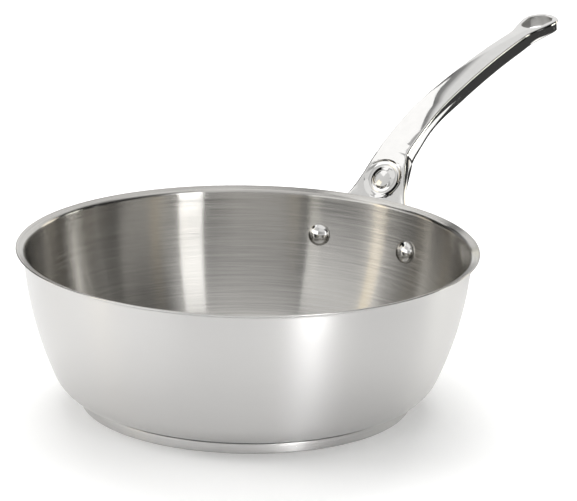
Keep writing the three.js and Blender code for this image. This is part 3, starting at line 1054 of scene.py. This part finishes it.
# Dark cards on the right of the handle, which its side shows: one lies on the floor, one stands. Corners as
# distances to the right, away and up from the middle of the pan, in metres.
LYING = ((0.25, 0.25), (0.35, 0.28), (0.37, 0.309), (2.2, 0.912), (2.2, 1.236), (0.25, 0.495))
OFF_FLOOR = 0.0005
STANDING = ((0.20, 0.085), (0.298, 0.054), (0.298, 0.145), (0.20, 0.145))
OFF_PAN = 0.36
CARDS = (
    [(right, away, OFF_FLOOR) for right, away in LYING],
    [(OFF_PAN, away, up) for away, up in STANDING],
)
CARD_LEVEL = 0.06


def upright(start, end, low, high):
    return (start, end, low), (start, end, high)


def even(brightness):
    return (brightness,) * 4


# Panels round the pan. Each has a lower and an upper edge (from, to, height), a nearness, the brightness of
# its four corners and a tint. Directions are degrees to the right of the camera, heights degrees above the
# floor. Each panel is laid out in steps across and up.
PANEL_STEPS = (24, 12)
WHITE = "#FFFFFF"
PANELS = (
    (*upright(-180, 180, 0, 56), 1.00, even(0.01), WHITE),
    (*upright(-180, 180, 54, 90), 0.99, even(1.0), WHITE),
    (*upright(137, 183, 0, 10), 0.98, even(0.2), WHITE),
    (*upright(137, 183, 10, 31), 0.98, even(0.98), WHITE),
    (*upright(183, 196, 0, 28), 0.98, even(0.98), WHITE),
    (*upright(196, 224, 0, 28), 0.98, even(0.2), WHITE),
    (*upright(183, 192, 28, 35), 0.98, even(0.25), WHITE),
    ((137, 177.5, 31), (137, 180.5, 49), 0.98, (0.95, 0.9, 0.95, 0.9), WHITE),
    ((137, 180.5, 49), (137, 189, 62), 0.98, (0.98, 0.9, 0.98, 0.9), WHITE),
    ((177.5, 180, 31), (180.5, 183, 49), 0.98, (0.9, 0.45, 0.9, 0.45), WHITE),
    ((180.5, 183, 49), (189, 193, 62), 0.98, (0.9, 0.45, 0.9, 0.45), WHITE),
    ((180, 182.5, 31), (183, 185.5, 49), 0.98, (0.35, 0.2, 0.35, 0.2), WHITE),
    ((183, 185.5, 49), (193, 196.5, 62), 0.98, (0.35, 0.2, 0.35, 0.25), WHITE),
    ((182.5, 214, 34), (185.5, 214, 49), 0.97, even(1.32), WHITE),
    ((185.5, 205, 49), (196.5, 205, 62), 0.97, even(1.32), WHITE),
    (*upright(-155, -110, 48, 66), 0.97, even(1.32), WHITE),
    (*upright(-110, -86, 55, 61.5), 0.97, even(1.32), WHITE),
    ((-87, -80, 44), (-110, -80, 55), 0.97, even(1.32), WHITE),
    (*upright(178, 280, 61.5, 70), 0.98, even(0.5), WHITE),
    (*upright(-114, -103, 0, 30), 0.98, even(0.9), "#FFF6E6"),
    (*upright(-103, -88, 0, 30), 0.98, (0.6, 1.4, 0.6, 1.4), WHITE),
    (*upright(-88, -34, 0, 9), 0.98, (1.1, 1.1, 1.35, 1.35), WHITE),
    (*upright(-88, -34, 9, 30), 0.98, (1.6, 1.65, 1.5, 1.5), WHITE),
    (*upright(-88, -34, 30, 56), 0.98, (0.85, 0.6, 0.85, 0.55), WHITE),
    ((-80, -70, 0), (-82, -77, 40), 0.97, (3.0, 3.0, 1.7, 1.7), "#FFF3DC"),
    (*upright(-34, 30, 0, 12), 0.981, (1.1, 1.9, 0.55, 1.0), WHITE),
    ((-34, 30, 12), (-34, 32, 30), 0.981, (0.32, 0.66, 0.4, 0.66), WHITE),
    (*upright(-34, 32, 30, 56), 0.981, even(0.85), WHITE),
    ((24.5, 37.8, 0), (25.2, 38.5, 9), 0.98, (27, 27, 8, 8), WHITE),
    ((25.2, 38.5, 9), (28, 41.5, 40), 0.98, (4.6, 4.6, 0.75, 0.75), WHITE),
    ((37.8, 52, 0), (41.5, 52, 40), 0.981, (1.1, 0.12, 1.1, 0.12), WHITE),
    (*upright(52, 68, 0, 40), 0.98, (0.12, 0, 0.12, 0), WHITE),
    (*upright(89, 91.5, 0, 20), 0.98, even(0.4), WHITE),
    (*upright(103, 115, 0, 24), 0.98, (4.0, 4.0, 2.0, 2.0), "#FAFAF0"),
    (*upright(124, 137, 0, 24), 0.98, even(1.9), "#FFF6E6"),
    (*upright(44, 140, 44, 56), 0.98, (0.2, 0.2, 0.5, 0.5), WHITE),
)
GROUPS = {
    "pan_bowl": PanBowlSizes,
    "pan_base": PanBaseSizes,
    "pan_rivet": PanRivetSizes,
    "pan_handle": PanHandleSizes,
    "pan_finish": PanFinishes,
    "pan_studio": PanStudio,
}
OPERATORS = (PanStage, PanBowl, PanBaseCap, PanHeatSpreader, PanHandle, PanRivets)


def register():
    for group in (*GROUPS.values(), *OPERATORS, PanPanel):
        bpy.utils.register_class(group)
    for name, group in GROUPS.items():
        setattr(bpy.types.Scene, name, bpy.props.PointerProperty(type=group))


def unregister():
    for name in GROUPS:
        delattr(bpy.types.Scene, name)
    for group in reversed((*GROUPS.values(), *OPERATORS, PanPanel)):
        bpy.utils.unregister_class(group)


def main():
    register()
    bpy.ops.pan.stage()
    bpy.ops.pan.bowl()
    bpy.ops.pan.base_cap()
    bpy.ops.pan.heat_spreader()
    bpy.ops.pan.handle()
    bpy.ops.pan.rivets()


if __name__ == "__main__":
    main()
